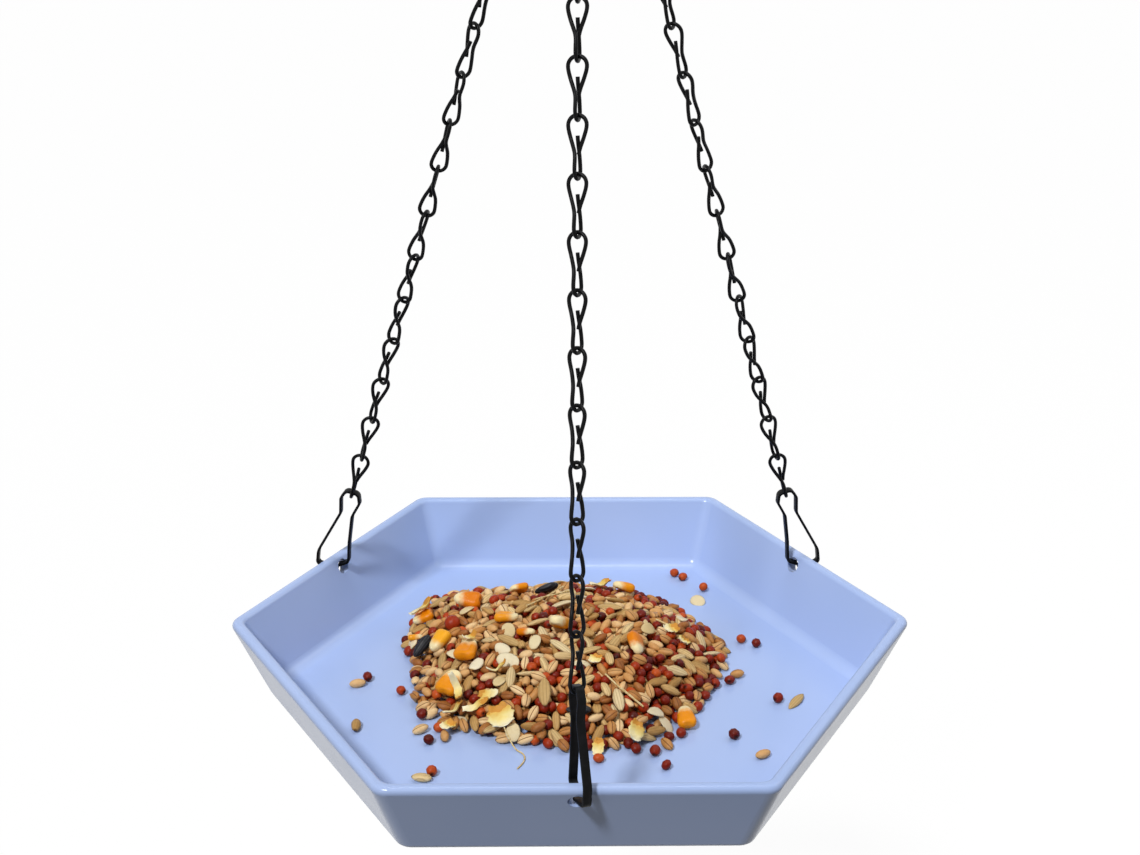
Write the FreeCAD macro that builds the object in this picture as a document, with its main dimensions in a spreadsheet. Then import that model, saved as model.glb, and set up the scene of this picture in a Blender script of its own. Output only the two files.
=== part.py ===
import FreeCAD, Part
import math
import os
import Sketcher
from FreeCAD import Placement, Rotation, Vector

# A hexagonal bird feeder tray on three jack chains, gathered on a ring under an S-hook.
# Millimetres, +Z up. The origin is the point where the S-hook bears on what it hangs from,
# and the wall that faces -Y is the front.

doc = FreeCAD.newDocument("bird_feeder")
sheet = doc.addObject("Spreadsheet::Sheet", "Sizes")

driving_sizes = [
    ("rim_radius", 115.0, "tray: centre to corner at the rim"),
    ("wall_spread", 13.0, "tray: how much farther out the corners are at the rim than below"),
    ("tray_depth", 28.0, "tray: underside to rim"),
    ("wall_thickness", 4.0, "tray: wall, square to its face"),
    ("floor_thickness", 4.0, "tray: floor"),
    ("corner_round", 6.0, "tray: upright corners outside"),
    ("base_round", 3.0, "tray: edge round the underside"),
    ("hollow_round", 5.0, "tray: corners and floor edge inside"),
    ("rim_round", 1.7, "tray: both edges of the rim"),
    ("hole_diameter", 5.4, "tray: clip holes"),
    ("hole_drop", 4.5, "tray: rim to the middle of a clip hole"),
    ("strip_width", 2.6, "clip: width of the strip"),
    ("strip_thickness", 0.9, "clip: thickness of the strip"),
    ("strip_clearance", 0.15, "clip: strip to hole edge and to the last link"),
    ("tip_gap", 1.0, "clip: between the two tips inside the hole"),
    ("outer_tip_drop", 0.3, "clip: lower seat of the sloping outer end, where it leaves the wall"),
    ("inner_reach", 4.6, "clip: wall middle to the inner bend"),
    ("outer_reach", 7.8, "clip: hole middle to the outer bend, level"),
    ("outer_lift", 1.4, "clip: hole middle to the outer bend, upright"),
    ("head_inset", 7.3, "clip: hole to the last link, towards the middle"),
    ("head_rise", 30.4, "clip: hole to the last link, upright"),
    ("head_width", 7.8, "clip: over the shoulders"),
    ("head_top", 4.4, "clip: flat top between the shoulders' bends"),
    ("shoulder_drop", 3.5, "clip: top of the head to its widest line"),
    ("neck_width", 5.1, "clip: over the neck"),
    ("neck_drop", 9.6, "clip: top of the head to the neck"),
    ("bend_radius", 1.6, "clip: middle line of the tight bends"),
    ("knee_radius", 6.0, "clip: middle line of the easy bends"),
    ("front_turn", 20.0, "clip: turn of the front clip about its own line, degrees"),
    ("side_turn", 21.0, "clip: turn of the other two clips about their own lines, degrees"),
    ("chain_links", 18, "chain: links from ring to clip"),
    ("link_pitch", 16.0, "chain: step from link to link when pulled tight"),
    ("link_width", 6.6, "chain: over one loop"),
    ("link_wire", 1.2, "chain: wire, across the flats it is drawn with"),
    ("link_play", 0.2, "chain: free play in one joint"),
    ("link_end_gap", 0.08, "chain: wire end to the strand beside it"),
    ("chain_spread", 1.95, "chain: step between neighbours on the ring"),
    ("ring_inside", 20.0, "ring: inside diameter"),
    ("ring_wire", 2.5, "ring: wire"),
    ("hook_wire", 3.0, "S-hook: wire"),
    ("hook_crook_inside", 24.0, "S-hook: inside diameter of the upper crook"),
    ("hook_eye_inside", 10.0, "S-hook: inside diameter of the lower eye"),
    ("hook_centres", 34.0, "S-hook: crook middle to eye middle"),
    ("hanging_clearance", 0.5, "between hook, ring and first links"),
    ("heap_length", 110.0, "seed: heap along X"),
    ("heap_width", 108.0, "seed: heap along Y"),
    ("heap_height", 17.0, "seed: heap above the floor"),
    ("heap_offset_x", -2.0, "seed: middle of the heap"),
    ("heap_offset_y", 11.0, "seed: middle of the heap"),
    ("seed_clearance", 0.05, "seed: heap to floor"),
]
for row, (alias, value, note) in enumerate(driving_sizes, start=1):
    sheet.set("A%d" % row, note)
    sheet.set("B%d" % row, str(value))
    sheet.setAlias("B%d" % row, alias)
doc.recompute()


def size(alias):
    return float(sheet.get(alias))


HEXAGON_SIDES = 6
CORNER_TO_FLAT = math.cos(math.pi / HEXAGON_SIDES)
WALL_AZIMUTHS = {"front": 270.0, "left": 150.0, "right": 30.0}

# Wires are drawn with few sides and their bends with short straight runs, because the chains
# repeat them many times.
LINK_SECTION_SIDES = 4
LINK_BEND_CHORDS = 5
FITTING_SECTION_SIDES = 6
RING_CHORDS = 24
HOOK_CHORD_ANGLE = math.radians(22.0)
CLIP_CHORD_ANGLE = math.radians(36.0)

LEAN = "atan(Sizes.wall_spread * cos(30 deg) / Sizes.tray_depth)"
WALL_INSET = "Sizes.wall_thickness / cos(30 deg) / cos(%s)" % LEAN
BASE_RADIUS = "Sizes.rim_radius - Sizes.wall_spread"
FLOOR_RADIUS = BASE_RADIUS + " + Sizes.wall_spread * Sizes.floor_thickness / Sizes.tray_depth"


def origin_plane(body, role):
    return next(feature for feature in body.Origin.OriginFeatures if feature.Role == role)


def hexagon_sketch(body, name, radius, level):
    """Flat sides face +Y and -Y, corners face +X and -X."""
    sketch = body.newObject("Sketcher::SketchObject", name)
    sketch.AttachmentSupport = [(origin_plane(body, "XY_Plane"), "")]
    sketch.MapMode = "FlatFace"
    sketch.setExpression("AttachmentOffset.Base.z", level)
    guide_radius = size("rim_radius")
    corners = []
    for index in range(HEXAGON_SIDES):
        angle = 2 * math.pi * index / HEXAGON_SIDES
        corners.append(Vector(guide_radius * math.cos(angle), guide_radius * math.sin(angle), 0))
    for index in range(HEXAGON_SIDES):
        following = corners[(index + 1) % HEXAGON_SIDES]
        sketch.addGeometry(Part.LineSegment(corners[index], following), False)
    circle = sketch.addGeometry(Part.Circle(Vector(0, 0, 0), Vector(0, 0, 1), guide_radius), True)
    sketch.addConstraint(Sketcher.Constraint("Coincident", circle, 3, -1, 1))
    for index in range(HEXAGON_SIDES):
        following = (index + 1) % HEXAGON_SIDES
        sketch.addConstraint(Sketcher.Constraint("Coincident", index, 2, following, 1))
        sketch.addConstraint(Sketcher.Constraint("PointOnObject", index, 1, circle))
    for index in range(1, HEXAGON_SIDES):
        sketch.addConstraint(Sketcher.Constraint("Equal", 0, index))
    sketch.addConstraint(Sketcher.Constraint("Horizontal", 1))
    radius_index = sketch.addConstraint(Sketcher.Constraint("Radius", circle, guide_radius))
    sketch.renameConstraint(radius_index, "circumradius")
    sketch.setExpression("Constraints.circumradius", radius)
    return sketch


def edges_where(shape, test):
    return ["Edge%d" % number for number, edge in enumerate(shape.Edges, start=1) if test(edge)]


def rises(edge):
    ends = [vertex.Point.z for vertex in edge.Vertexes]
    return len(ends) == 2 and abs(ends[0] - ends[1]) > size("tray_depth") / 2


def lies_at(level):
    def test(edge):
        box = edge.BoundBox
        return abs(box.ZMin - level) < 1e-4 and abs(box.ZMax - level) < 1e-4
    return test


def fillet(body, name, base, edge_names, radius):
    feature = body.newObject("PartDesign::Fillet", name)
    feature.Base = (base, edge_names)
    feature.setExpression("Radius", radius)
    doc.recompute()
    return feature


def faces_between(shape, low, high):
    """Upright faces that run from one level to the other."""
    names = []
    for number, face in enumerate(shape.Faces, start=1):
        levels = [vertex.Point.z for vertex in face.Vertexes]
        if abs(min(levels) - low) < 1e-4 and abs(max(levels) - high) < 1e-4:
            names.append("Face%d" % number)
    return names


def draft(body, name, base, face_names, level, from_below):
    """Lean the faces outwards from the level where they keep their place."""
    neutral = next("Face%d" % number for number, face in enumerate(base.Shape.Faces, start=1)
                   if face.BoundBox.ZLength < 1e-4 and abs(face.BoundBox.ZMin - level) < 1e-4)
    feature = body.newObject("PartDesign::Draft", name)
    feature.Base = (base, face_names)
    feature.NeutralPlane = (base, [neutral])
    feature.setExpression("Angle", LEAN)
    feature.Reversed = from_below
    doc.recompute()
    return feature


def make_tray():
    body = doc.addObject("PartDesign::Body", "tray")
    body.Label = "tray"
    depth = size("tray_depth")
    floor_level = size("floor_thickness")

    block = body.newObject("PartDesign::Pad", "OuterForm")
    block.Profile = hexagon_sketch(body, "UndersideOutline", BASE_RADIUS, "0")
    block.setExpression("Length", "Sizes.tray_depth")
    doc.recompute()
    outer = draft(body, "OuterDraft", block, faces_between(block.Shape, 0, depth), 0, True)
    corners = fillet(body, "OuterCorners", outer, edges_where(outer.Shape, rises),
                     "Sizes.corner_round")
    base = fillet(body, "UndersideRound", corners, edges_where(corners.Shape, lies_at(0)),
                  "Sizes.base_round")

    pocket = body.newObject("PartDesign::Pocket", "Hollow")
    pocket.Profile = hexagon_sketch(body, "FloorOutline", "%s - %s" % (FLOOR_RADIUS, WALL_INSET),
                                    "Sizes.floor_thickness")
    pocket.setExpression("Length", "Sizes.tray_depth")
    pocket.Reversed = True
    doc.recompute()
    hollow = draft(body, "InnerDraft", pocket,
                   faces_between(pocket.Shape, floor_level, depth), floor_level, False)

    def rises_inside(edge):
        ends = [vertex.Point for vertex in edge.Vertexes]
        if len(ends) != 2:
            return False
        low, high = sorted(ends, key=lambda point: point.z)
        return abs(low.z - floor_level) < 1e-4 and abs(high.z - depth) < 1e-4

    hollow_edges = (edges_where(hollow.Shape, rises_inside)
                    + edges_where(hollow.Shape, lies_at(floor_level)))
    floor = fillet(body, "HollowRound", hollow, hollow_edges, "Sizes.hollow_round")
    rim = fillet(body, "RimRound", floor, edges_where(floor.Shape, lies_at(depth)),
                 "Sizes.rim_round")

    hole = body.newObject("PartDesign::SubtractiveCylinder", "ClipHole")
    hole.AttachmentSupport = [(origin_plane(body, "XY_Plane"), "")]
    hole.MapMode = "FlatFace"
    hole.setExpression("Radius", "Sizes.hole_diameter / 2")
    hole.setExpression("Height", "3 * Sizes.wall_thickness")
    outward = Vector(0, -1, 0)
    axis = outward * math.cos(wall_lean) - Vector(0, 0, math.sin(wall_lean))
    centre = outward * hole_reach + Vector(0, 0, depth - size("hole_drop"))
    start = centre - axis * 1.5 * size("wall_thickness")
    hole.AttachmentOffset = Placement(start, Rotation(Vector(0, 0, 1), axis))
    doc.recompute()
    before = rim.Shape.Volume
    holes = body.newObject("PartDesign::PolarPattern", "ClipHoles")
    holes.Originals = [hole]
    holes.Axis = (origin_plane(body, "Z_Axis"), [""])
    holes.Angle = 360
    holes.Occurrences = len(WALL_AZIMUTHS)
    body.Tip = holes
    doc.recompute()
    if not holes.Shape.Volume < hole.Shape.Volume < before:
        raise RuntimeError("the clip holes do not cut the tray")
    body.setExpression("Placement.Base.z", "%r" % tray_level)
    return body


def rounded_path(points, radii):
    """Straight runs through points, eased at each inner point by chords of a tangent arc."""
    corners = [points[0]]
    for before, corner, after, radius in zip(points, points[1:], points[2:], radii):
        towards = (before - corner).normalize()
        away = (after - corner).normalize()
        half_angle = towards.getAngle(away) / 2
        bisector = (towards + away).normalize()
        centre = corner + bisector * (radius / math.sin(half_angle))
        turn = math.pi - 2 * half_angle
        chords = max(1, round(turn / CLIP_CHORD_ANGLE))
        side = (towards - bisector * towards.dot(bisector)).normalize()
        for index in range(chords + 1):
            angle = turn / 2 - turn * index / chords
            corners.append(centre + side * (radius * math.sin(angle))
                           - bisector * (radius * math.cos(angle)))
    return Part.makePolygon(corners + [points[-1]])


def add_path(name, wire):
    path = doc.addObject("Part::Feature", name)
    path.Shape = wire
    return path


def sweep(name, section, path):
    body = doc.addObject("Part::Sweep", name)
    body.Sections = [section]
    body.Spine = (path, ["Edge%d" % number for number in range(1, len(path.Shape.Edges) + 1)])
    body.Solid = True
    body.Frenet = False
    body.Transition = "Right corner"
    doc.recompute()
    return body


def wire_section(name, sides, diameter, start, direction, flat_towards):
    """A polygon as wide across its flats as the wire, at the start of its path."""
    section = doc.addObject("Part::RegularPolygon", name)
    section.Polygon = sides
    section.setExpression("Circumradius", "%s / 2 / cos(180 deg / %d)" % (diameter, sides))
    upright = direction.cross(flat_towards)
    turned = Rotation(flat_towards, upright, direction, "ZXY")
    half_side = Rotation(Vector(0, 0, 1), 180.0 / sides)
    section.Placement = Placement(start, turned.multiply(half_side))
    return section


def arc_points(centre, radius, first, last, chords, across, up):
    """Corners of the chords outside an arc, so that the chords touch it."""
    step = (last - first) / chords
    outer = radius / math.cos(step / 2)
    points = []
    for index in range(chords + 1):
        angle = first + index * step
        points.append(centre + across * (outer * math.cos(angle)) + up * (outer * math.sin(angle)))
    return points


def clip_path():
    """Middle line of the strip, X outwards and Z up from the middle of its hole."""
    outwards = Vector(math.cos(wall_lean), 0, -math.sin(wall_lean))
    up_wall = Vector(math.sin(wall_lean), 0, math.cos(wall_lean))
    seat = up_wall * tip_lift
    inner_tip = seat - outwards * (size("tip_gap") / 2)
    inner_bend = seat - outwards * size("inner_reach")
    outer_bend = Vector(size("outer_reach"), 0, size("outer_lift"))
    wall_face = seat + outwards * (size("wall_thickness") / 2) - up_wall * size("outer_tip_drop")
    slope = (wall_face - outer_bend) * (1 / (wall_face - outer_bend).dot(outwards))
    outer_tip = wall_face + slope * ((size("tip_gap") - size("wall_thickness")) / 2)

    along = Vector(-math.sin(chain_lean), 0, math.cos(chain_lean))
    across = Vector(math.cos(chain_lean), 0, math.sin(chain_lean))
    bearing = Vector(-size("head_inset"), 0, size("head_rise"))
    top = bearing + along * (strip_seat + size("strip_thickness") / 2)

    def on_head(drop, width):
        half = (width - size("strip_thickness")) / 2
        middle = top - along * drop
        return middle - across * half, middle + across * half

    inner_top, outer_top = on_head(0, size("head_top") + size("strip_thickness"))
    inner_shoulder, outer_shoulder = on_head(size("shoulder_drop"), size("head_width"))
    inner_neck, outer_neck = on_head(size("neck_drop"), size("neck_width"))
    knee_level = size("head_rise") * 0.36
    inner_knee = Vector(inner_bend.x - size("strip_thickness"), 0, knee_level)
    outer_knee = Vector(outer_bend.x - size("strip_thickness"), 0, knee_level / 2 + outer_bend.z)
    bend = size("bend_radius")
    knee = size("knee_radius")
    points = [inner_tip, inner_bend, inner_knee, inner_neck, inner_shoulder, inner_top,
              outer_top, outer_shoulder, outer_neck, outer_knee, outer_bend, outer_tip]
    return rounded_path(points, [bend, knee, 2 * bend, bend, bend, bend, bend, 2 * bend, knee, bend])


def strip_sketch():
    """Cross section of the strip, square to the start of its path."""
    sketch = doc.addObject("Sketcher::SketchObject", "StripSection")
    wide = size("strip_width")
    thick = size("strip_thickness")
    corners = [Vector(-wide / 2, -thick / 2, 0), Vector(wide / 2, -thick / 2, 0),
               Vector(wide / 2, thick / 2, 0), Vector(-wide / 2, thick / 2, 0)]
    for index, corner in enumerate(corners):
        sketch.addGeometry(Part.LineSegment(corner, corners[(index + 1) % 4]), False)
    for index in range(4):
        sketch.addConstraint(Sketcher.Constraint("Coincident", index, 2, (index + 1) % 4, 1))
    for index in (0, 2):
        sketch.addConstraint(Sketcher.Constraint("Horizontal", index))
        sketch.addConstraint(Sketcher.Constraint("Vertical", index + 1))
    sketch.addConstraint(Sketcher.Constraint("Symmetric", 0, 1, 1, 2, -1, 1))
    width_index = sketch.addConstraint(Sketcher.Constraint("DistanceX", 0, 1, 0, 2, wide))
    thick_index = sketch.addConstraint(Sketcher.Constraint("DistanceY", 1, 1, 1, 2, thick))
    sketch.renameConstraint(width_index, "width")
    sketch.renameConstraint(thick_index, "thickness")
    sketch.setExpression("Constraints.width", "Sizes.strip_width")
    sketch.setExpression("Constraints.thickness", "Sizes.strip_thickness")
    return sketch


def make_wall_clips():
    """Three like clips, one for each holed wall."""
    path = add_path("ClipPath", clip_path())
    section = strip_sketch()
    first_edge = path.Shape.Edges[0]
    start = first_edge.valueAt(first_edge.FirstParameter)
    direction = first_edge.tangentAt(first_edge.FirstParameter)
    section.Placement = Placement(start, Rotation(Vector(0, 1, 0), direction.cross(Vector(0, 1, 0)),
                                                  direction, "ZXY"))
    pattern = sweep("ClipPattern", section, path)
    turns = {"front": size("front_turn"), "left": size("side_turn"), "right": -size("side_turn")}
    clips = []
    for name, azimuth in WALL_AZIMUTHS.items():
        clip = doc.addObject("Part::Feature", name + "_clip")
        clip.Shape = pattern.Shape.copy()
        turn_axis = Vector(-size("head_inset"), 0, size("head_rise"))
        clip.Placement = wall_placement(azimuth).multiply(
            Placement(Vector(0, 0, 0), Rotation(turn_axis, turns[name])))
        clips.append(clip)
    group = doc.addObject("Part::Compound", "wall_clips")
    group.Links = clips
    group.Label = "wall_clips"
    return group


def link_path():
    """One wire: upper loop in the XZ plane, lower loop in the YZ plane, ends at the waist."""
    wire = size("link_wire")
    loop_radius = (size("link_width") - wire) / 2
    loop_centre = (size("link_pitch") + size("link_play") + wire) / 2 - loop_radius
    across_x = Vector(1, 0, 0)
    across_y = Vector(0, 1, 0)
    up = Vector(0, 0, 1)
    first = math.pi / 2 - link_half_turn
    last = math.pi / 2 + link_half_turn
    upper = arc_points(up * loop_centre, loop_radius, first, last, LINK_BEND_CHORDS, across_x, up)
    lower = arc_points(-up * loop_centre, loop_radius, last, first, LINK_BEND_CHORDS, -across_y, -up)
    lower.reverse()
    beside = (wire + size("link_end_gap")) / 2
    upper_end = Vector(beside, 0, 0.8 * wire)
    lower_end = Vector(0, beside, -0.8 * wire)
    waist = Vector(-wire / 3, -wire / 3, 0)
    return Part.makePolygon([upper_end] + upper + [waist] + lower + [lower_end])


def link_roll(chain, number):
    """Direction of the upper loop's plane, turning steadily from ring to clip."""
    at_ring, at_middle, at_clip = CHAIN_ROLLS[chain]
    last = int(size("chain_links"))
    if number >= MIDDLE_LINK:
        share = (number - MIDDLE_LINK) / (last - MIDDLE_LINK)
        return at_middle + share * (at_clip - at_middle)
    share = (number - 1) / (MIDDLE_LINK - 1)
    return at_ring + share * (at_middle - at_ring)


def make_chains():
    path = add_path("LinkPath", link_path())
    start, following = [vertex.Point for vertex in path.Shape.OrderedVertexes[:2]]
    section = wire_section("LinkSection", LINK_SECTION_SIDES, "Sizes.link_wire", start,
                           (following - start).normalize(), Vector(0, 1, 0))
    pattern = sweep("LinkPattern", section, path)
    links = []
    for chain in WALL_AZIMUTHS:
        top, bottom = chain_ends(chain)
        count = int(size("chain_links"))
        for number in range(1, count + 1):
            centre = top + (bottom - top) * ((number - 0.5) / count)
            roll = math.radians(link_roll(chain, number))
            up = (top - bottom).normalize()
            link = doc.addObject("Part::Feature", "chain_%s_link_%02d" % (chain, number))
            link.Label = link.Name
            link.Shape = pattern.Shape.copy()
            facing = Vector(math.cos(roll), math.sin(roll), 0)
            beside = up.cross(facing)
            link.Placement = Placement(centre, Rotation(beside.cross(up), beside, up, "ZXY"))
            links.append(link)
    return links


def make_ring():
    centre = Vector(0, 0, ring_level)
    radius = (size("ring_inside") + size("ring_wire")) / 2
    corners = arc_points(centre, radius, math.pi / RING_CHORDS,
                         math.pi / RING_CHORDS + 2 * math.pi, RING_CHORDS,
                         Vector(0, 1, 0), Vector(0, 0, 1))
    path = add_path("RingPath", Part.makePolygon(corners))
    middle = (corners[0] + corners[1]) / 2
    start = corners[0]
    direction = (corners[1] - start).normalize()
    section = wire_section("RingSection", FITTING_SECTION_SIDES, "Sizes.ring_wire", middle,
                           direction, (centre - middle).normalize())
    ring = sweep("top_ring", section, path)
    ring.Label = "top_ring"
    return ring


def make_hook():
    """Upper crook open on one side, lower eye closed against the shank, in the XZ plane."""
    wire = size("hook_wire")
    crook_radius = (size("hook_crook_inside") + wire) / 2
    eye_radius = (size("hook_eye_inside") + wire) / 2
    crook_centre = Vector(0, 0, -size("hook_crook_inside") / 2)
    eye_centre = crook_centre - Vector(0, 0, size("hook_centres"))
    shank_angle = math.asin((crook_radius + eye_radius) / size("hook_centres"))
    across = Vector(1, 0, 0)
    up = Vector(0, 0, 1)
    crook_turn = math.radians(200) + shank_angle
    crook = arc_points(crook_centre, crook_radius, math.radians(200), -shank_angle,
                       math.ceil(crook_turn / HOOK_CHORD_ANGLE), across, up)
    eye_start = math.pi - shank_angle
    eye_end = math.radians(435)
    eye = arc_points(eye_centre, eye_radius, eye_start, eye_end,
                     math.ceil((eye_end - eye_start) / HOOK_CHORD_ANGLE), across, up)
    corners = crook + eye
    path = add_path("HookPath", Part.makePolygon(corners))
    direction = (corners[1] - corners[0]).normalize()
    section = wire_section("HookSection", FITTING_SECTION_SIDES, "Sizes.hook_wire", corners[0],
                           direction, Vector(0, 1, 0))
    hook = sweep("s_hook", section, path)
    hook.Label = "s_hook"
    return hook


def make_seed():
    """A low heap with a rounded crown, resting on the floor."""
    outlines = []
    for reach, height in HEAP_PROFILE:
        outline = []
        for corner in range(HEAP_SIDES):
            angle = 2 * math.pi * corner / HEAP_SIDES
            outline.append(Vector(size("heap_length") / 2 * reach * math.cos(angle),
                                  size("heap_width") / 2 * reach * math.sin(angle),
                                  size("heap_height") * height))
        outlines.append(outline)
    faces = [flat_face(outlines[0]), flat_face(outlines[-1])]
    for low, high in zip(outlines, outlines[1:]):
        for corner in range(HEAP_SIDES):
            following = (corner + 1) % HEAP_SIDES
            faces.append(flat_face([low[corner], low[following], high[following], high[corner]]))
    heap = doc.addObject("Part::Feature", "seed_mix")
    heap.Shape = Part.Solid(Part.Shell(faces))
    heap.Placement = Placement(Vector(size("heap_offset_x"), size("heap_offset_y"),
                                      tray_level + size("floor_thickness")
                                      + size("seed_clearance")), Rotation())
    heap.Label = "seed_mix"
    return heap


def flat_face(corners):
    return Part.Face(Part.makePolygon(corners + [corners[0]]))


# Share of the heap's reach and of its height, from the floor to the crown.
HEAP_PROFILE = [(1.0, 0.0), (0.96, 0.22), (0.78, 0.55), (0.48, 0.86), (0.16, 1.0)]
HEAP_SIDES = 18

# Direction of the upper loop in degrees at the ring, at a middle link and at the clip.
CHAIN_ROLLS = {
    "front": (0.0, -18.0, -65.0),
    "left": (180.0, 130.0, -8.0),
    "right": (180.0, 152.0, 5.0),
}
MIDDLE_LINK = 8
RING_ORDER = {"front": -1, "left": 0, "right": 1}

# Walls lean outwards by wall_lean, and a clip hole sits in the middle of a wall's thickness.
wall_lean = math.atan(size("wall_spread") * CORNER_TO_FLAT / size("tray_depth"))
hole_reach = (size("rim_radius") * CORNER_TO_FLAT - size("hole_drop") * math.tan(wall_lean)
              - size("wall_thickness") / 2 / math.cos(wall_lean))

# The strip's tips are pulled up against the top of the hole.
turn_angle = math.radians(max(size("front_turn"), size("side_turn")))
strip_reach = (size("strip_width") / 2 / math.cos(turn_angle)
               + size("wall_thickness") / 2 * math.tan(turn_angle))
tip_lift = (math.sqrt((size("hole_diameter") / 2) ** 2 - strip_reach ** 2)
            - size("strip_thickness") / 2 - size("strip_clearance"))

# A link's loop turns this far each way from its end before its legs run straight to the waist.
link_bend = (size("link_width") - size("link_wire")) / 2
link_arm = (size("link_pitch") + size("link_play") + size("link_wire")) / 2 - link_bend
link_half_turn = math.pi / 2 + math.asin((link_bend - size("link_wire") / 2) / link_arm)

# The strip is wider than the flat end of a loop, so it rides up on the loop's sides.
link_chord_angle = 2 * link_half_turn / LINK_BEND_CHORDS
flat_end = (link_bend - size("link_wire") / 2) * math.tan(link_chord_angle / 2)
strip_seat = (max(0.0, size("strip_width") / 2 - flat_end) * math.tan(link_chord_angle)
              + size("strip_clearance"))

# Levels from the hook down.
hook_eye_floor = (-size("hook_crook_inside") / 2 - size("hook_centres")
                  - size("hook_eye_inside") / 2)
ring_level = (hook_eye_floor + size("hanging_clearance") - size("ring_inside") / 2)
gather_level = ring_level - size("ring_inside") / 2 + size("hanging_clearance")
chain_length = size("chain_links") * size("link_pitch")
chain_reach = hole_reach - size("head_inset")
chain_lean = math.asin(chain_reach / chain_length)
hole_level = gather_level - chain_length * math.cos(chain_lean) - size("head_rise")
tray_level = hole_level + size("hole_drop") - size("tray_depth")


def wall_placement(azimuth):
    """From a clip's own axes to its hole: X outwards, Z up."""
    outward = Vector(math.cos(math.radians(azimuth)), math.sin(math.radians(azimuth)), 0)
    return Placement(outward * hole_reach + Vector(0, 0, hole_level),
                     Rotation(Vector(0, 0, 1), azimuth))


def chain_ends(chain):
    """Where the first link bears on the ring and the last link on its clip."""
    azimuth = math.radians(WALL_AZIMUTHS[chain])
    offset = RING_ORDER[chain] * size("chain_spread")
    bend_radius = (size("ring_inside") + size("ring_wire")) / 2
    rise = bend_radius - math.sqrt(bend_radius ** 2 - offset ** 2)
    top = Vector(0, offset, gather_level + rise)
    outward = Vector(math.cos(azimuth), math.sin(azimuth), 0)
    bottom = outward * chain_reach + Vector(0, 0, hole_level + size("head_rise"))
    return top, bottom


sub_parts = [make_tray(), make_wall_clips()] + make_chains() + [make_ring(), make_hook(), make_seed()]
doc.recompute()

for feature in doc.Objects:
    if "Invalid" in feature.State or "Error" in feature.State:
        raise RuntimeError("%s failed: %s" % (feature.Label, feature.State))
for part in sub_parts:
    if part.Shape.isNull() or not part.Shape.isValid():
        raise RuntimeError("%s has no valid solid" % part.Label)

os.makedirs("parts", exist_ok=True)
for part in sub_parts:
    part.Shape.exportStep("parts/%s.step" % part.Label)
print("%d sub-parts written" % len(sub_parts))
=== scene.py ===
import math
import random

import bmesh
import bpy
from mathutils import Matrix, Vector


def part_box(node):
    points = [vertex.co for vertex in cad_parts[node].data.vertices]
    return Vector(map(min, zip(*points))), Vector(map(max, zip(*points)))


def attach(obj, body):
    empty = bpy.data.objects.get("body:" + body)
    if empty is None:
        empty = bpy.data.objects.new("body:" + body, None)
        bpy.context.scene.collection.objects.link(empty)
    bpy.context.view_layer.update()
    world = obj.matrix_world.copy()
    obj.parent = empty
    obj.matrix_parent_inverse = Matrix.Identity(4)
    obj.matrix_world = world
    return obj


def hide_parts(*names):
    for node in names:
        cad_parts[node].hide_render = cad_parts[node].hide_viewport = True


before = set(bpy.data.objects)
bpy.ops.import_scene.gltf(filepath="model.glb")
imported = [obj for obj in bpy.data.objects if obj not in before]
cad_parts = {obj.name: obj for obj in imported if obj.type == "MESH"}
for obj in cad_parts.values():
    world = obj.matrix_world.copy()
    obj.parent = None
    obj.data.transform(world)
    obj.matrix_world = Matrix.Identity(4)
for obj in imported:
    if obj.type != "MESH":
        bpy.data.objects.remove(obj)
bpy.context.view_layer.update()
print("feeder frame loaded")

mm = 0.001
xAxis, yAxis, zAxis = Vector((1, 0, 0)), Vector((0, 1, 0)), Vector((0, 0, 1))


def hexColour(text):
    # sRGB hex to linear
    channels = [int(text[i:i + 2], 16) / 255 for i in (1, 3, 5)]
    return (*(c / 12.92 if c <= 0.04045 else ((c + 0.055) / 1.055) ** 2.4 for c in channels), 1.0)


def addNode(tree, kind, values=None, links=None, stops=(), **settings):
    node = tree.nodes.new(kind)
    for name, value in settings.items():
        setattr(node, name, value)
    for name, value in (values or {}).items():
        node.inputs[name].default_value = value
    for name, source in (links or {}).items():
        tree.links.new(source, node.inputs[name])
    for number, (position, colour) in enumerate(stops):
        if number >= len(node.color_ramp.elements):
            node.color_ramp.elements.new(position)
        node.color_ramp.elements[number].position = position
        node.color_ramp.elements[number].color = hexColour(colour)
    return node


def newMaterial(name, shaderValues):
    material = bpy.data.materials.new(name)
    material.use_nodes = True
    tree = material.node_tree
    tree.nodes.clear()
    shader = addNode(tree, "ShaderNodeBsdfPrincipled", shaderValues)
    addNode(tree, "ShaderNodeOutputMaterial", links={"Surface": shader.outputs[0]})
    return material, tree, shader


def finishMesh(bm, name, body="feeder"):
    for face in bm.faces:
        face.smooth = True
    mesh = bpy.data.meshes.new(name)
    bm.to_mesh(mesh)
    bm.free()
    piece = bpy.data.objects.new(name, mesh)
    bpy.context.scene.collection.objects.link(piece)
    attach(piece, body)
    return piece


# Tray: its solid stays, so these of its sizes only place what lies in it and hangs from it
trayShape = {
    "corner": 115.0 * mm, "depth": 28.0 * mm, "spread": 13.0 * mm,  # how far the corners lean out
    "wall": 4.0 * mm, "floor": 4.0 * mm, "holeDrop": 4.5 * mm,
}
trayLow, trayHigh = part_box("tray")
rimLevel = trayHigh.z
floorLevel = trayLow.z + trayShape["floor"]
holeLevel = rimLevel - trayShape["holeDrop"]
flatShare = math.cos(math.radians(30))  # a hexagon's middle to its flats, against its middle to its corners
wallLean = math.atan(trayShape["spread"] * flatShare / trayShape["depth"])
holeReach = (trayShape["corner"] * flatShare - trayShape["holeDrop"] * math.tan(wallLean)
             - trayShape["wall"] / 2 / math.cos(wallLean))

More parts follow.
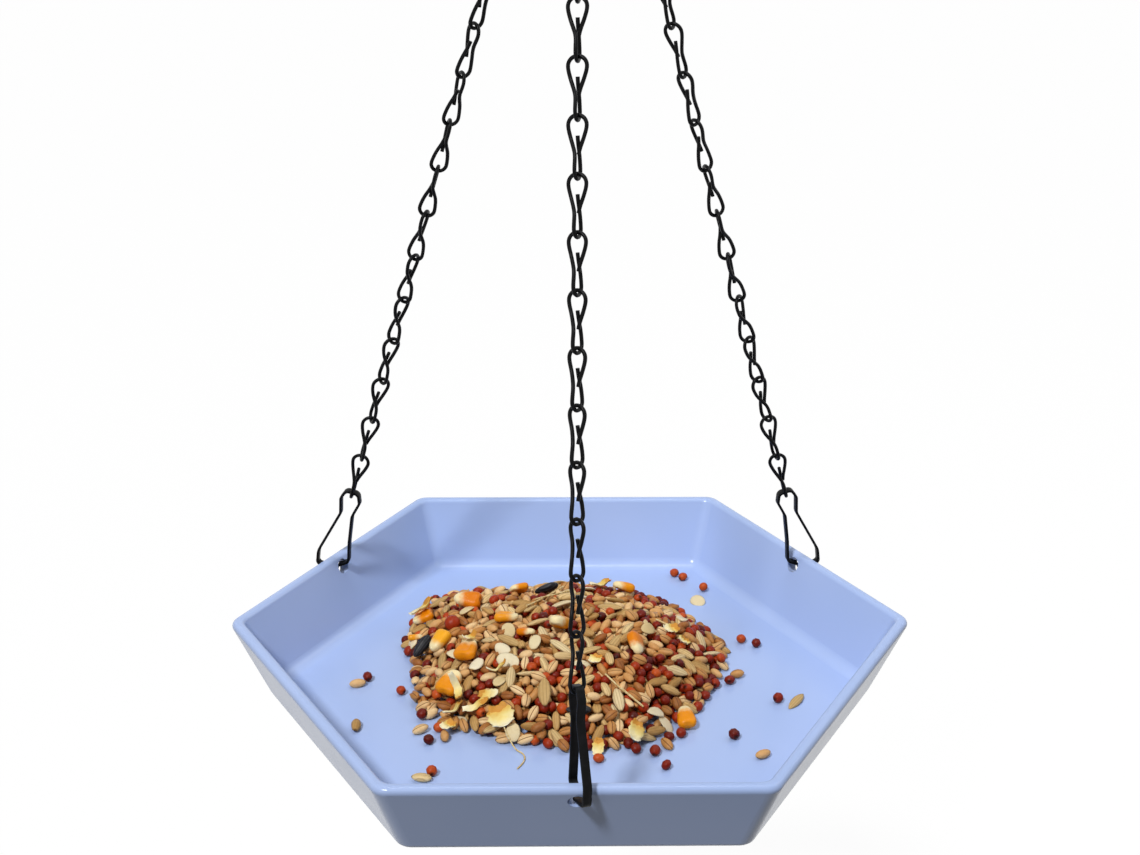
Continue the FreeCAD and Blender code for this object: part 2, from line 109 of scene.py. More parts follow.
# Injection-moulded polypropylene, a soft blue-violet with a wet-looking skin
trayLook = {
    "stops": [(0.3, "#A6BCE9"), (0.5, "#AABFEB"), (0.7, "#AFC3EE")], "cloudSize": 70 * mm,
    "ior": 1.49, "specular": 0.35, "roughness": 0.2,
    "scuffedRoughness": 0.24, "scuffSize": 9 * mm, "scuffRange": (0.35, 0.75),
    "peelSize": 1.6 * mm, "peelDepth": 0.003 * mm,
}


def makeTrayPlastic():
    look = trayLook
    material, tree, shader = newMaterial("mouldedPolypropylene", {
        "Roughness": look["roughness"], "IOR": look["ior"], "Specular IOR Level": look["specular"]})
    place = addNode(tree, "ShaderNodeTexCoord").outputs["Object"]
    cloud = addNode(tree, "ShaderNodeTexNoise", {"Scale": 1 / look["cloudSize"], "Detail": 2.0},
                    {"Vector": place})
    colour = addNode(tree, "ShaderNodeValToRGB", links={"Fac": cloud.outputs["Fac"]}, stops=look["stops"])
    tree.links.new(colour.outputs["Color"], shader.inputs["Base Color"])
    # handling scuffs dull the gloss in soft patches
    scuff = addNode(tree, "ShaderNodeTexNoise", {"Scale": 1 / look["scuffSize"], "Detail": 4.0},
                    {"Vector": place})
    low, high = look["scuffRange"]
    dull = addNode(tree, "ShaderNodeMapRange", {
        "From Min": low, "From Max": high, "To Min": look["roughness"], "To Max": look["scuffedRoughness"]},
        {"Value": scuff.outputs["Fac"]})
    tree.links.new(dull.outputs["Result"], shader.inputs["Roughness"])
    # the fine orange peel of a moulded skin, drawn a little coarser than it is
    peel = addNode(tree, "ShaderNodeTexNoise", {"Scale": 1 / look["peelSize"], "Detail": 1.0},
                   {"Vector": place})
    skin = addNode(tree, "ShaderNodeBump", {"Distance": look["peelDepth"]}, {"Height": peel.outputs["Fac"]})
    tree.links.new(skin.outputs["Normal"], shader.inputs["Normal"])
    return material


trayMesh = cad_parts["tray"].data
trayMesh.materials.clear()
trayMesh.materials.append(makeTrayPlastic())
print("tray plastic made")


# Wire and strip: steel with a black coat that wears to a dark satin where pieces rub
steelLook = {
    "stops": [(0.45, "#060607"), (0.8, "#131316")], "wearSize": 2.2 * mm,
    "metallic": 0.2, "specular": 0.12, "roughness": {"chain": 0.38, "hanger": 0.35, "strip": 0.46},
    "grainSize": 0.35 * mm, "grainDepth": 0.02 * mm,
}


def makeBlackSteel(name, roughness):
    look = steelLook
    material, tree, shader = newMaterial(name, {
        "Metallic": look["metallic"], "Roughness": roughness, "Specular IOR Level": look["specular"]})
    place = addNode(tree, "ShaderNodeTexCoord").outputs["Object"]
    wear = addNode(tree, "ShaderNodeTexNoise", {"Scale": 1 / look["wearSize"], "Detail": 3.0},
                   {"Vector": place})
    colour = addNode(tree, "ShaderNodeValToRGB", links={"Fac": wear.outputs["Fac"]}, stops=look["stops"])
    tree.links.new(colour.outputs["Color"], shader.inputs["Base Color"])
    # the coat's grain, drawn coarser than it is so that it shows
    grain = addNode(tree, "ShaderNodeTexNoise", {"Scale": 1 / look["grainSize"], "Detail": 2.0},
                    {"Vector": place})
    coat = addNode(tree, "ShaderNodeBump", {"Distance": look["grainDepth"]}, {"Height": grain.outputs["Fac"]})
    tree.links.new(coat.outputs["Normal"], shader.inputs["Normal"])
    return material


chainSteel = makeBlackSteel("blackZincSteelWire", steelLook["roughness"]["chain"])
hangerSteel = makeBlackSteel("blackZincHangerWire", steelLook["roughness"]["hanger"])
stripSteel = makeBlackSteel("blackCoatedSteelStrip", steelLook["roughness"]["strip"])
print("black steel made")


def smoothLine(points, radius, order=3, resolution=6, sides=2):
    # a round wire or stem whose middle line is a spline with these control points
    curve = bpy.data.curves.new("line", "CURVE")
    curve.dimensions = "3D"
    curve.resolution_u = resolution
    curve.bevel_depth = radius
    curve.bevel_resolution = sides
    curve.use_fill_caps = True
    spline = curve.splines.new("NURBS")
    spline.points.add(len(points) - 1)
    for controlPoint, point in zip(spline.points, points):
        controlPoint.co = (*point, 1.0)
    spline.order_u = order
    spline.use_endpoint_u = True
    holder = bpy.data.objects.new("line", curve)
    bpy.context.scene.collection.objects.link(holder)
    mesh = bpy.data.meshes.new_from_object(holder.evaluated_get(bpy.context.evaluated_depsgraph_get()))
    bpy.data.objects.remove(holder)
    bpy.data.curves.remove(curve)
    return mesh


def bendPoints(centre, radius, first, last, chords, across, up):
    # corners just outside an arc, so that a quadratic spline through them follows it
    step = (last - first) / chords
    outer = radius / math.cos(step / 2)
    return [centre + across * outer * math.cos(first + i * step) + up * outer * math.sin(first + i * step)
            for i in range(chords + 1)]


def turnedFrame(origin, across, up):
    beside = up.cross(across).normalized()
    forward = beside.cross(up).normalized()
    return Matrix.Translation(origin) @ Matrix((forward, beside, up.normalized())).transposed().to_4x4()


# The three walls that hang on a chain, by the wall's direction, the chain's place on the ring, the turns of
# its first, turning and last link about the chain's line, and the clip's turn about its own, in degrees
hangWalls = {
    "front": {"azimuth": 270, "order": -1, "linkTurns": (0, -18, -58), "clipTurn": 20.0},
    "left": {"azimuth": 150, "order": 0, "linkTurns": (180, 126, -8), "clipTurn": 21.0},
    "right": {"azimuth": 30, "order": 1, "linkTurns": (180, 152, 5), "clipTurn": -21.0},
}
ringShape = {"wire": 2.5 * mm, "clearance": 0.5 * mm, "sides": 20, "steps": 72}
ringLow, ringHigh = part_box("top_ring")
ringMiddle = (ringLow.z + ringHigh.z) / 2
ringBend = (ringHigh.z - ringLow.z - ringShape["wire"]) / 2
gatherLevel = ringLow.z + ringShape["wire"] + ringShape["clearance"]

# Jack chain: each link one bent wire, two loops a quarter turn apart, open beside the waist
chainShape = {
    "links": 18, "turnLink": 8, "pitch": 16.0 * mm, "play": 0.2 * mm, "ringStep": 1.95 * mm,
    "wire": 1.2 * mm, "width": 6.6 * mm, "lowerWidth": 6.0 * mm,
    "loopTurn": 105, "chords": 6,  # degrees round a loop, each way from its end
    "knee": (1.9 * mm, 2.2 * mm), "crossing": -0.9 * mm,  # the run from loop to loop
    # the free legs from tip to loop: beside the link's middle line, and along it from the waist
    "upperLeg": [(0.35 * mm, -2.1 * mm), (0.65 * mm, -0.6 * mm), (1.8 * mm, 2.3 * mm)],
    "lowerLeg": [(0.15 * mm, -3.1 * mm), (0.55 * mm, -1.0 * mm), (1.8 * mm, 2.3 * mm)],
}
# Wall clips: each a flat strip bent into a wide head and two legs that hook into the wall's hole
clipShape = {
    "width": 2.6 * mm, "thickness": 0.9 * mm, "edge": 0.14 * mm,
    "tipLift": 1.02 * mm, "tipGap": 1.0 * mm, "outerDrop": 0.3 * mm,  # the two tips in the hole
    "innerReach": 4.6 * mm, "outerReach": 7.8 * mm, "outerLift": 1.4 * mm,  # hole to the bends below
    "kneeShare": 0.36,  # the legs' knees, as a share of the head's rise
    # from the hole to the last link, from that to the strip, and the slope at which the chain leans in
    "headInset": 7.3 * mm, "headRise": 30.4 * mm, "headSeat": 1.035 * mm, "chainLean": 0.3222,
    # drop and width at the neck, the shoulder and the top, and the bends' radii from a tip to the top
    "head": [(9.6 * mm, 4.2 * mm), (3.5 * mm, 6.9 * mm), (0.0, 4.4 * mm)],
    "bends": [1.6 * mm, 6.0 * mm, 3.2 * mm, 1.6 * mm, 1.6 * mm], "bendSteps": 8,
}


def chainEnds(wall):
    # from the first link's seat on the ring's round wire to the last link's in the clip's head
    offset = wall["order"] * chainShape["ringStep"]
    top = Vector((0, offset, gatherLevel + ringBend - math.sqrt(ringBend ** 2 - offset ** 2)))
    outward = Vector((math.cos(math.radians(wall["azimuth"])), math.sin(math.radians(wall["azimuth"])), 0))
    bottom = outward * (holeReach - clipShape["headInset"])
    bottom.z = holeLevel + clipShape["headRise"]
    return top, bottom


def makeLinkMesh():
    shape = chainShape
    halfLength = (shape["pitch"] + shape["play"] + shape["wire"]) / 2
    upperBend = (shape["width"] - shape["wire"]) / 2
    lowerBend = (shape["lowerWidth"] - shape["wire"]) / 2
    first, last = math.radians(90 - shape["loopTurn"]), math.radians(90 + shape["loopTurn"])
    upper = bendPoints(zAxis * (halfLength - upperBend), upperBend, first, last, shape["chords"],
                       xAxis, zAxis)
    lower = bendPoints(-zAxis * (halfLength - lowerBend), lowerBend, first, last, shape["chords"],
                       -yAxis, -zAxis)
    # one run crosses from loop to loop at the waist, and each loop's free leg runs on past it
    (beside, above), crossing = shape["knee"], shape["crossing"]
    waist = [Vector((-beside, 0, above)), Vector((crossing, crossing, 0)), Vector((0, -beside, -above))]
    start = [Vector((aside, 0, along)) for aside, along in shape["upperLeg"]]
    end = [Vector((0, aside, -along)) for aside, along in reversed(shape["lowerLeg"])]
    return smoothLine(start + upper + waist + lower + end, shape["wire"] / 2)


linkMesh = makeLinkMesh()
linkNumbers = range(1, chainShape["links"] + 1)
turningPoints = (1, chainShape["turnLink"], chainShape["links"])
for name, wall in hangWalls.items():
    top, bottom = chainEnds(wall)
    up = (top - bottom).normalized()
    bm = bmesh.new()
    for number in linkNumbers:
        part = 0 if number < chainShape["turnLink"] else 1
        first, last = turningPoints[part:part + 2]
        start, end = wall["linkTurns"][part:part + 2]
        roll = math.radians(start + (end - start) * (number - first) / (last - first))
        link = linkMesh.copy()
        link.transform(turnedFrame(top.lerp(bottom, (number - 0.5) / chainShape["links"]),
                                   Vector((math.cos(roll), math.sin(roll), 0)), up))
        bm.from_mesh(link)
        bpy.data.meshes.remove(link)
    chain = finishMesh(bm, "jackChain_" + name)
    chain.data.materials.append(chainSteel)
    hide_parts(*["chain_%s_link_%02d" % (name, n) for n in linkNumbers])
bpy.data.meshes.remove(linkMesh)
print("jack chains made")


def roundedLine(corners, radii):
    bm = bmesh.new()
    verts = [bm.verts.new(corner) for corner in corners]
    for start, end in zip(verts, verts[1:]):
        bm.edges.new((start, end))
    for vert, before, after, radius in zip(verts[1:-1], corners, corners[2:], radii):
        turn = (vert.co - before).angle(after - vert.co)
        bmesh.ops.bevel(bm, geom=[vert], offset=radius * math.tan(turn / 2), offset_type="OFFSET",
                        affect="VERTICES", segments=clipShape["bendSteps"], profile=0.5, material=-1)
    return bm


def clipLine():
    # the strip's middle line from tip to tip, with x outwards and z up from the middle of its hole
    shape = clipShape
    outwards = xAxis * math.cos(wallLean) - zAxis * math.sin(wallLean)
    upWall = xAxis * math.sin(wallLean) + zAxis * math.cos(wallLean)
    seat = upWall * shape["tipLift"]
    wallFace = seat + outwards * trayShape["wall"] / 2 - upWall * shape["outerDrop"]
    innerBend = seat - outwards * shape["innerReach"]
    outerBend = xAxis * shape["outerReach"] + zAxis * shape["outerLift"]
    slope = (wallFace - outerBend) / (wallFace - outerBend).dot(outwards)
    kneeLevel = shape["headRise"] * shape["kneeShare"]
    innerKnee = xAxis * (innerBend.x - shape["thickness"]) + zAxis * kneeLevel
    outerKnee = xAxis * (outerBend.x - shape["thickness"]) + zAxis * (kneeLevel / 2 + shape["outerLift"])
    lean = math.atan(shape["chainLean"])
    along = zAxis * math.cos(lean) - xAxis * math.sin(lean)
    across = xAxis * math.cos(lean) + zAxis * math.sin(lean)
    top = zAxis * shape["headRise"] - xAxis * shape["headInset"] + along * shape["headSeat"]
    corners = [seat - outwards * shape["tipGap"] / 2, innerBend, innerKnee]
    corners += [top - along * drop - across * width / 2 for drop, width in shape["head"]]
    corners += [top - along * drop + across * width / 2 for drop, width in reversed(shape["head"])]
    corners += [outerKnee, outerBend, wallFace - slope * (trayShape["wall"] - shape["tipGap"]) / 2]
    return roundedLine(corners, shape["bends"] + shape["bends"][::-1])


clipParts = bmesh.new()
for wall in hangWalls.values():
    bm = clipLine()
    bmesh.ops.translate(bm, verts=bm.verts, vec=(0, -clipShape["width"] / 2, 0))
    made = bmesh.ops.extrude_edge_only(bm, edges=bm.edges[:])["geom"]
    bmesh.ops.translate(bm, verts=[v for v in made if isinstance(v, bmesh.types.BMVert)],
                        vec=(0, clipShape["width"], 0))
    bmesh.ops.recalc_face_normals(bm, faces=bm.faces)
    ownLine = Vector((-clipShape["headInset"], 0, clipShape["headRise"]))
    facing = Matrix.Rotation(math.radians(wall["azimuth"]), 4, "Z")
    place = (Matrix.Translation(facing @ Vector((holeReach, 0, 0)) + Vector((0, 0, holeLevel)))
             @ facing @ Matrix.Rotation(math.radians(wall["clipTurn"]), 4, ownLine))
    bmesh.ops.transform(bm, matrix=place, verts=bm.verts)
    mesh = bpy.data.meshes.new("strip")
    bm.to_mesh(mesh)
    bm.free()
    clipParts.from_mesh(mesh)
    bpy.data.meshes.remove(mesh)
clips = finishMesh(clipParts, "wallClips")
solidify = clips.modifiers.new("thickness", "SOLIDIFY")
solidify.thickness = clipShape["thickness"]
solidify.offset = 0
solidify.use_even_offset = True
edges = clips.modifiers.new("edges", "BEVEL")
edges.width = clipShape["edge"]
edges.segments = 2
edges.limit_method = "ANGLE"
clips.data.materials.append(stripSteel)
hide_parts("wall_clips")
print("wall clips made")


# Hanger: a welded wire ring and a bent S-hook
bm = bmesh.new()
bmesh.ops.create_circle(bm, segments=ringShape["sides"], radius=ringShape["wire"] / 2,
                        matrix=Matrix.Translation((0, ringBend, 0)))
bmesh.ops.spin(bm, geom=bm.verts[:] + bm.edges[:], cent=(0, 0, 0), axis=(1, 0, 0), dvec=(0, 0, 0),
               angle=2 * math.pi, steps=ringShape["steps"], use_merge=True)
bmesh.ops.recalc_face_normals(bm, faces=bm.faces)
bmesh.ops.translate(bm, verts=bm.verts, vec=(0, 0, ringMiddle))
ring = finishMesh(bm, "weldedRing", "ring")
ring.data.materials.append(hangerSteel)
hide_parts("top_ring")

hookShape = {
    "wire": 3.0 * mm, "cutEdge": 0.5 * mm, "shankTurn": -36.03,  # degrees, as the start and end below
    "crookRadius": 13.5 * mm, "crookLevel": -12.0 * mm, "crookStart": 200, "crookChords": 9, "tipReach": 0.02,
    "eyeRadius": 6.5 * mm, "eyeLevel": -46.0 * mm, "eyeEnd": 435, "eyeChords": 12,
}


def bevelCutEnds(mesh, size):
    bm = bmesh.new()
    bm.from_mesh(mesh)
    bpy.data.meshes.remove(mesh)
    caps = [face for face in bm.faces if len(face.verts) > 4]
    rims = {edge for face in caps for edge in face.edges}
    bmesh.ops.bevel(bm, geom=list(rims), offset=size, offset_type="OFFSET", affect="EDGES",
                    segments=3, profile=0.5, material=-1)
    return bm


shankTurn = math.radians(hookShape["shankTurn"])
crook = bendPoints(zAxis * hookShape["crookLevel"], hookShape["crookRadius"],
                   math.radians(hookShape["crookStart"]), shankTurn, hookShape["crookChords"], xAxis, zAxis)
eye = bendPoints(zAxis * hookShape["eyeLevel"], hookShape["eyeRadius"],
                 math.pi + shankTurn, math.radians(hookShape["eyeEnd"]), hookShape["eyeChords"], xAxis, zAxis)
openTip = crook[0].lerp(crook[1], -hookShape["tipReach"])
hookMesh = smoothLine([openTip] + crook[1:] + eye, hookShape["wire"] / 2, resolution=8, sides=6)
hook = finishMesh(bevelCutEnds(hookMesh, hookShape["cutEdge"]), "bentHook", "hook")
hook.data.materials.append(hangerSteel)
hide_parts("s_hook")
print("ring and hook made")


# Seed heap: loose grains dropped one by one, each lying on what is already below it. Its lengths are in mm.
heapShape = {
    "halfLength": 55.0, "halfWidth": 54.0, "height": 17.0, "middle": (-2.0, 11.0),
    "profile": [(0.0, 1.0), (0.16, 1.0), (0.48, 0.86), (0.78, 0.55), (0.96, 0.24), (1.0, 0.17)],
    "squareness": {"front": 2.0, "backLeft": 3.8, "backRight": 2.3}, "raggedness": 0.05,
    "seed": 11, "mixSpan": 50.0,  # the mix goes from the left's to the right's over this length
    "firstFill": (0.93, 900), "lastFill": (1.0, 1500),  # share of the height, and misses before it is full
    # where a grain is tried, how far it sinks into its neighbours and may stand out, and how it turns
    "spots": 8, "tries": 5, "nudge": 1.4, "press": (0.1, 0.55), "proud": 0.5,
    "sizes": (0.9, 1.1), "tumble": 0.2, "roll": 0.35, "steepest": 0.55, "slopeSpan": 0.9, "sole": 0.94,
    "looseTurn": 6.28,  # radians
}
# half length, half width and half height in mm, sides round and rings along, share left and right
grainKinds = {
    "wheat": {"half": (2.75, 1.55, 1.4), "mesh": (8, 7), "share": (46, 32)},
    "barley": {"half": (3.6, 1.55, 1.25), "mesh": (8, 7), "share": (11, 9)},
    "sorghum": {"half": (1.85, 1.8, 1.65), "mesh": (8, 6), "share": (30, 50)},
    "oat": {"half": (4.6, 1.7, 1.0), "mesh": (8, 7), "share": (4, 3)},
    "flake": {"half": (3.2, 2.3, 0.5), "mesh": (10, 7), "share": (1.2, 0.5)},
    "maize": {"half": (4.5, 3.8, 2.1), "mesh": (24, 15), "share": (0.0, 0.0)},
    "sunflower": {"half": (4.6, 2.2, 1.5), "mesh": (12, 9), "share": (0.25, 0.1)},
}
dice = random.Random(heapShape["seed"])
groundHeight = {}  # by whole mm of x and y
grains = {kind: [] for kind in grainKinds}  # place and tint of each


def heapHeight(x, y):
    dx = (x - heapShape["middle"][0]) / heapShape["halfLength"]
    dy = (y - heapShape["middle"][1]) / heapShape["halfWidth"]
    power = heapShape["squareness"]["front" if dy < 0 else "backLeft" if dx < 0 else "backRight"]
    angle = math.atan2(dy, dx)
    ragged = 1 + heapShape["raggedness"] * (math.sin(5 * angle + 1.0) + 0.7 * math.sin(9 * angle)) / 2
    reach = (abs(dx) ** power + abs(dy) ** power) ** (1 / power) / ragged
    if reach >= 1:
        return 0.0
    for (near, high), (far, low) in zip(heapShape["profile"], heapShape["profile"][1:]):
        if reach <= far:
            return heapShape["height"] * (high + (low - high) * (reach - near) / (far - near))


def groundAt(x, y):
    return groundHeight.get((round(x), round(y)), 0.0)


def slopeAlong(x, y, dx, dy, span):
    # half of the ground's own slope and half of the heap's, so that grains lie flat as a poured heap's do
    ahead, behind = (x + dx * span, y + dy * span), (x - dx * span, y - dy * span)
    rise = groundAt(*ahead) - groundAt(*behind) + heapHeight(*ahead) - heapHeight(*behind)
    return max(-heapShape["steepest"], min(heapShape["steepest"], rise / (4 * span)))


def restGrain(half, x, y, yaw):
    # the level at which the grain first touches the ground below it, and the ground's cells that it covers
    a, b, c = half
    cosYaw, sinYaw = math.cos(yaw), math.sin(yaw)
    span = heapShape["slopeSpan"]
    slopeAhead = slopeAlong(x, y, cosYaw, sinYaw, span * a) + dice.gauss(0, heapShape["tumble"])
    slopeAside = slopeAlong(x, y, -sinYaw, cosYaw, span * b)
    cells = []
    reach = math.ceil(a)
    for column in range(round(x) - reach, round(x) + reach + 1):
        for row in range(round(y) - reach, round(y) + reach + 1):
            along = (column - x) * cosYaw + (row - y) * sinYaw
            beside = (row - y) * cosYaw - (column - x) * sinYaw
            share = (along / a) ** 2 + (beside / b) ** 2
            if share < heapShape["sole"]:
                lean = slopeAhead * along + slopeAside * beside
                cells.append(((column, row), lean, c * math.sqrt(1 - share)))
    level = max(groundHeight.get(cell, 0.0) - lean + thick for cell, lean, thick in cells)
    return level, slopeAhead, slopeAside, cells


def layGrain(kind, half, x, y, yaw, rest):
    level, slopeAhead, slopeAside, cells = rest
    for cell, lean, thick in cells:
        groundHeight[cell] = max(groundHeight.get(cell, 0.0), level + lean + thick)
    forward = Vector((math.cos(yaw), math.sin(yaw), slopeAhead)).normalized()
    beside = Vector((-math.sin(yaw), math.cos(yaw), slopeAside)).normalized()
    up = forward.cross(beside).normalized()
    beside = up.cross(forward)
    # one grain in three lies on its back
    roll = Matrix.Rotation(dice.choice((0, 0, math.pi)) + dice.gauss(0, heapShape["roll"]), 4, "X")
    stretch = Matrix.Diagonal((*(h * mm for h in half), 1.0))
    place = (Matrix.Translation((x * mm, y * mm, floorLevel + level * mm))
             @ Matrix((forward, beside, up)).transposed().to_4x4() @ roll @ stretch)
    grains[kind].append((place, dice.random()))


def dropGrain(kind, x, y, share=1.0, yaw=None, size=1.0):
    # the lowest of a few nearby rests, pressed a little into its neighbours; none if it would stand proud
    half = tuple(h * size * dice.uniform(*heapShape["sizes"]) for h in grainKinds[kind]["half"])
    best = None
    for number in range(heapShape["tries"] if yaw is None else 1):
        turn = dice.uniform(0, 2 * math.pi) if yaw is None else yaw
        nudge = heapShape["nudge"] if number else 0.0
        spot = (x + dice.uniform(-nudge, nudge), y + dice.uniform(-nudge, nudge))
        rest = restGrain(half, *spot, turn)
        over = rest[0] + half[2] - heapHeight(*spot) * share
        if best is None or over < best[0]:
            best = (over, spot, turn, rest)
    over, spot, turn, rest = best
    low, high = heapShape["press"]
    if yaw is None and over > high + heapShape["proud"]:
        return False
    press = max(low, min(high, over)) if rest[0] > half[2] + high else 0.0
    layGrain(kind, half, *spot, turn, (rest[0] - press, *rest[1:]))
    return True


def cellsAcross(middle, half):
    reach = half * (1 + heapShape["raggedness"])
    return range(math.floor(middle - reach), math.ceil(middle + reach) + 1)


heapArea = [(x, y) for x in cellsAcross(heapShape["middle"][0], heapShape["halfLength"])
            for y in cellsAcross(heapShape["middle"][1], heapShape["halfWidth"]) if heapHeight(x, y) > 0]


def fillHeap(share, misses):
    # each grain goes to the lowest of a few spots, until too many stand proud
    missed = 0
    while missed < misses:
        spots = [dice.choice(heapArea) for _ in range(heapShape["spots"])]
        x, y = max(spots, key=lambda spot: heapHeight(*spot) * share - groundAt(*spot))
        rightness = min(1.0, max(0.0, (x + heapShape["mixSpan"] / 2) / heapShape["mixSpan"]))
        weights = [left + (right - left) * rightness
                   for left, right in (kind["share"] for kind in grainKinds.values())]
        if not dropGrain(dice.choices(list(grainKinds), weights)[0], x, y, share):
            missed += 1


# the large kernels and dark seeds that stand out, by place, turn and size
standouts = [
    ("maize", -36, 35, -0.2, 1.05), ("maize", -22, 17, 3.0, 0.9), ("maize", -15, 6, 2.5, 0.75),
    ("maize", -4, 7, 1.2, 1.1), ("maize", -45, 11, 0.9, 1.0), ("maize", -35, -1, 4.4, 1.1),
    ("maize", 22, -1, 1.7, 1.05), ("maize", -40, -16, 4.2, 1.15), ("maize", -54, 21, 3.1, 0.6),
    ("maize", 20, 48, 0.3, 0.9), ("maize", -52, 34, 0.2, 0.95), ("maize", -18, 44, 0.4, 0.8),
    ("sunflower", -8, 42, 0.1, 1.1), ("sunflower", -51, 11, 0.8, 0.95), ("sorghum", -41, 22, 0.0, 1.5),
    ("sunflower", 2, -33, 0.2, 0.9), ("flake", -3, 26, 0.2, 1.3), ("flake", -21, -9, -0.3, 1.2),
    ("oat", -20, -17, 1.5, 1.1), ("oat", -9, -25, 1.6, 1.25), ("oat", 15, -28, 1.75, 1.1),
    ("flake", 21, -36, 0.1, 0.9), ("barley", -1, 32, 0.6, 1.1), ("flake", -12, -1, 1.4, 0.9),
]
# loose grains round the heap's foot and over the tray's floor, and a kernel in front of them
scattered = [
    ("sorghum", -69, 1), ("wheat", -72, -3), ("barley", -70, -29), ("sorghum", -44, -56),
    ("barley", -47, -59), ("sorghum", 41, 77), ("sorghum", 44, 74), ("sorghum", 51, 65),
    ("sorghum", 61, 26), ("sorghum", 66, 23), ("wheat", 57, 2), ("oat", 75, -15),
    ("sorghum", 69, -14), ("sorghum", 52, -36), ("wheat", 60, -47), ("sorghum", 29, -53),
    ("sorghum", 26, -45), ("sorghum", 20, -44), ("sorghum", 31, -37), ("wheat", 30, -41),
    ("sorghum", 35, -35), ("wheat", -49, -32), ("wheat", -41, -36), ("sorghum", -46, -38),
    ("sorghum", -43, -31), ("sorghum", -49, -24), ("wheat", -11, -38), ("wheat", -3, -43),
    ("sorghum", 8, -49), ("wheat", 13, -42), ("flake", 48, 56), ("sorghum", 52, 8),
    ("sorghum", 54, -2), ("sorghum", -57, -8), ("wheat", -52, -14),
]
footKernel = ("maize", 37, -28, 4.8, 1.0)

fillHeap(*heapShape["firstFill"])
for kind, x, y, yaw, size in standouts:
    dropGrain(kind, x, y, yaw=yaw, size=size)
fillHeap(*heapShape["lastFill"])
looseGrains = [(*loose, dice.uniform(0, heapShape["looseTurn"]), 1.0) for loose in scattered]
for kind, x, y, yaw, size in [footKernel] + looseGrains:
    dropGrain(kind, x, y, yaw=yaw, size=size)
print("grains dropped:", {kind: len(placed) for kind, placed in grains.items()})


# Each kind starts from a ball of radius 1 whose poles are the grain's tips. Along, across and up run
# from -1 to 1, and the factors taper, flatten, bend or hollow it.
def shapeWheat(along, across, up):
    taper = 1 - 0.18 * along ** 4 + 0.05 * along
    if up > 0.9 * math.sqrt(max(0.0, 1 - along ** 2)) and abs(along) < 0.93:
        up *= 0.6  # the crease along its belly
    elif up > 0.2:
        up *= 1.22  # the full cheeks beside it
    return along, across * taper, up * taper


def shapeOat(along, across, up):
    taper = (1 - along ** 2) ** 0.22
    return along, across * taper, up * taper * (0.75 if up > 0 else 1.0) - 0.25 * along ** 2


def shapeFlake(along, across, up):
    return along * (1 + 0.12 * across), across, up + 0.9 * (across ** 2 - 0.4 * along ** 2)


def shapeMaize(along, across, up):
    # a wedge with a squared crown, flat faces, and the germ's hollow on one of them
    girth = max(1e-6, math.hypot(across, up))
    side, face = across / girth, up / girth
    reach = math.copysign(abs(along) ** 0.75, along)
    section = (1 - abs(reach) ** 4) ** 0.45
    widening = 0.5 + 0.5 * reach
    wide = (0.5 + 0.5 * widening ** 0.8) * section * math.copysign(abs(side) ** 0.75, side)
    thick = (0.72 + 0.28 * widening) * section * math.copysign(abs(face) ** 0.75, face)
    if face > 0.2 and -0.75 < reach < 0.45:
        thick -= 0.3 * max(0.0, 1 - (wide / 0.5) ** 2)
    if reach > 0.9:
        reach -= 0.12 * max(0.0, 1 - abs(wide) / 0.5)
    return reach, wide, thick


def shapeSunflower(along, across, up):
    wide = 0.72 + 0.36 * (0.5 + 0.5 * along) if along < 0.4 else 1.0
    return along, across * wide, up * wide


# a kind that isn't listed stays a ball, stretched to its size
grainShapes = {"wheat": shapeWheat, "barley": shapeWheat, "oat": shapeOat, "flake": shapeFlake,
               "maize": shapeMaize, "sunflower": shapeSunflower}


def makeGrains(kind):
    # grainSpot says where on its grain a point is, and grainTint which tint the grain has
    sides, rings = grainKinds[kind]["mesh"]
    bm = bmesh.new()
    spot = bm.verts.layers.float_color.new("grainSpot")
    bm.verts.layers.float.new("grainTint")
    bmesh.ops.create_uvsphere(bm, u_segments=sides, v_segments=rings, radius=1.0)
    bmesh.ops.rotate(bm, verts=bm.verts, matrix=Matrix.Rotation(math.pi / 2, 3, "Y"))
    for vert in bm.verts:
        along, across, up = vert.co
        vert[spot] = (0.5 + 0.5 * along, 0.5 + 0.5 * across, 0.5 + 0.5 * up, 1.0)
        if kind in grainShapes:
            vert.co = grainShapes[kind](along, across, up)
    pattern = bpy.data.meshes.new("grain")
    bm.to_mesh(pattern)
    bm.clear()
    for place, shade in grains[kind]:
        grain = pattern.copy()
        grain.transform(place)
        grain.attributes["grainTint"].data.foreach_set("value", [shade] * len(grain.vertices))
        bm.from_mesh(grain)
        bpy.data.meshes.remove(grain)
    bpy.data.meshes.remove(pattern)
    return finishMesh(bm, kind + "Grains")


